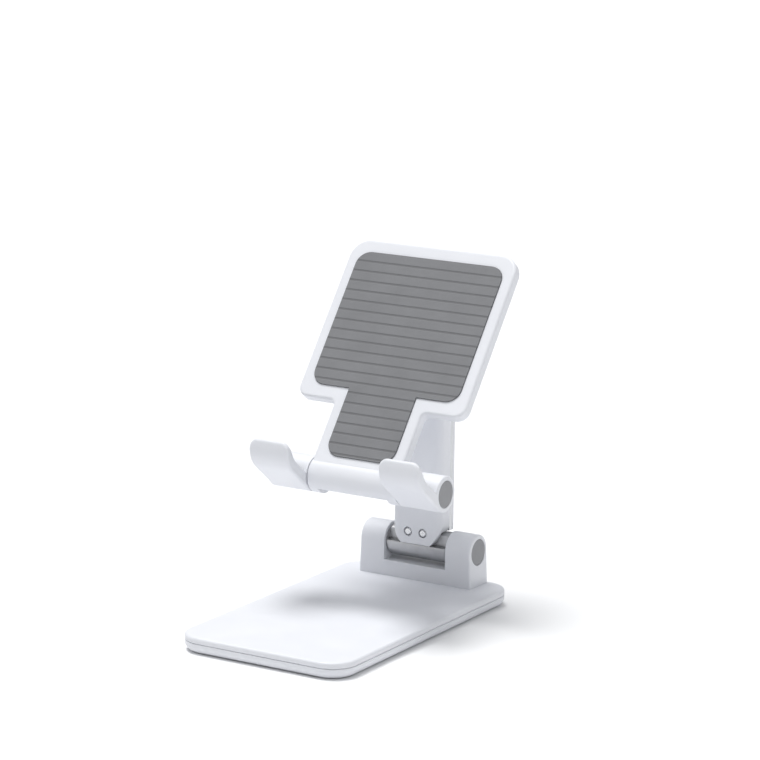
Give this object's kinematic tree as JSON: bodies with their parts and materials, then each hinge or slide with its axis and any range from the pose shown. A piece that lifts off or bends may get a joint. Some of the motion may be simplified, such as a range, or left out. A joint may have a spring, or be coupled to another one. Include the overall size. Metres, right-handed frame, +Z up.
{
  "type": "phone stand",
  "caption": "Folding desk phone stand: a weighted flat base, an upright hinged arm, and a tilting cradle plate with fold-out hooks that hold a phone's lower edge.",
  "frame": {"origin": "on the table, under the middle of the base's footprint", "axes": "+Z up, -Y to the front (the side the phone faces), +X to the right seen from the front, and X is also the direction of every hinge axis"},
  "size_m": [0.0658, 0.113, 0.1196],
  "materials": {
    "white_plastic": "satin",
    "grey_cap_plastic": "satin",
    "soft_grey_rubber": "matte",
    "satin_barrel_metal": "satin, blasted",
    "strip_metal": "satin",
    "plain_steel": "plain",
    "bright_pin_steel": "bright, slightly domed",
    "screw_steel": "plated"
  },
  "bodies": {
    "base": {"anti_slip_pad": "soft_grey_rubber", "base_bottom_tray": "white_plastic", "base_weight_plate": "plain_steel", "base_top_cover": "white_plastic", "base_corner_screws": "screw_steel", "lower_hinge_block": "white_plastic", "lower_block_screws": "screw_steel", "lower_hinge_axle": "plain_steel", "lower_friction_washers": "plain_steel", "lower_spring_discs": "plain_steel", "lower_axle_nuts": "screw_steel", "lower_hinge_caps": "grey_cap_plastic"},
    "arm": {"lower_hinge_barrel": "satin_barrel_metal", "upper_hinge_barrel": "satin_barrel_metal", "arm_front_shell": "white_plastic", "arm_spine_plate": "strip_metal", "arm_spine_screws": "screw_steel", "arm_rear_cover": "white_plastic", "lower_tongue_pins": "bright_pin_steel", "upper_tongue_pins": "bright_pin_steel"},
    "cradle": {"cradle_plate": "white_plastic", "cradle_pad": "soft_grey_rubber", "upper_hinge_block": "white_plastic", "upper_block_screws": "screw_steel", "hook_pins": "plain_steel", "upper_hinge_axle": "plain_steel", "upper_friction_washers": "plain_steel", "upper_spring_discs": "plain_steel", "upper_axle_nuts": "screw_steel", "upper_hinge_caps": "grey_cap_plastic"},
    "left_hook": {"left_hook": "white_plastic", "left_hook_pad": "soft_grey_rubber", "left_hook_washer": "plain_steel", "left_hook_cap": "grey_cap_plastic"},
    "right_hook": {"right_hook": "white_plastic", "right_hook_pad": "soft_grey_rubber", "right_hook_washer": "plain_steel", "right_hook_cap": "grey_cap_plastic"}
  },
  "joints": [
    {"name": "arm_hinge", "type": "hinge", "parent": "base", "child": "arm", "pos_m": [0, 0.0484, 0.0176], "axis": [1, 0, 0], "range_deg": [-10, 38]},
    {"name": "cradle_hinge", "type": "hinge", "parent": "arm", "child": "cradle", "pos_m": [0, 0.0484, 0.0938], "axis": [1, 0, 0], "range_deg": [-50, 37.7]},
    {"name": "left_hook_hinge", "type": "hinge", "parent": "cradle", "child": "left_hook", "pos_m": [-0.025, 0.00641, 0.04846], "axis": [-1, 0, 0], "range_deg": [0, 90]},
    {"name": "right_hook_hinge", "type": "hinge", "parent": "cradle", "child": "right_hook", "pos_m": [0.025, 0.00641, 0.04846], "axis": [-1, 0, 0], "range_deg": [0, 90]}
  ]
}
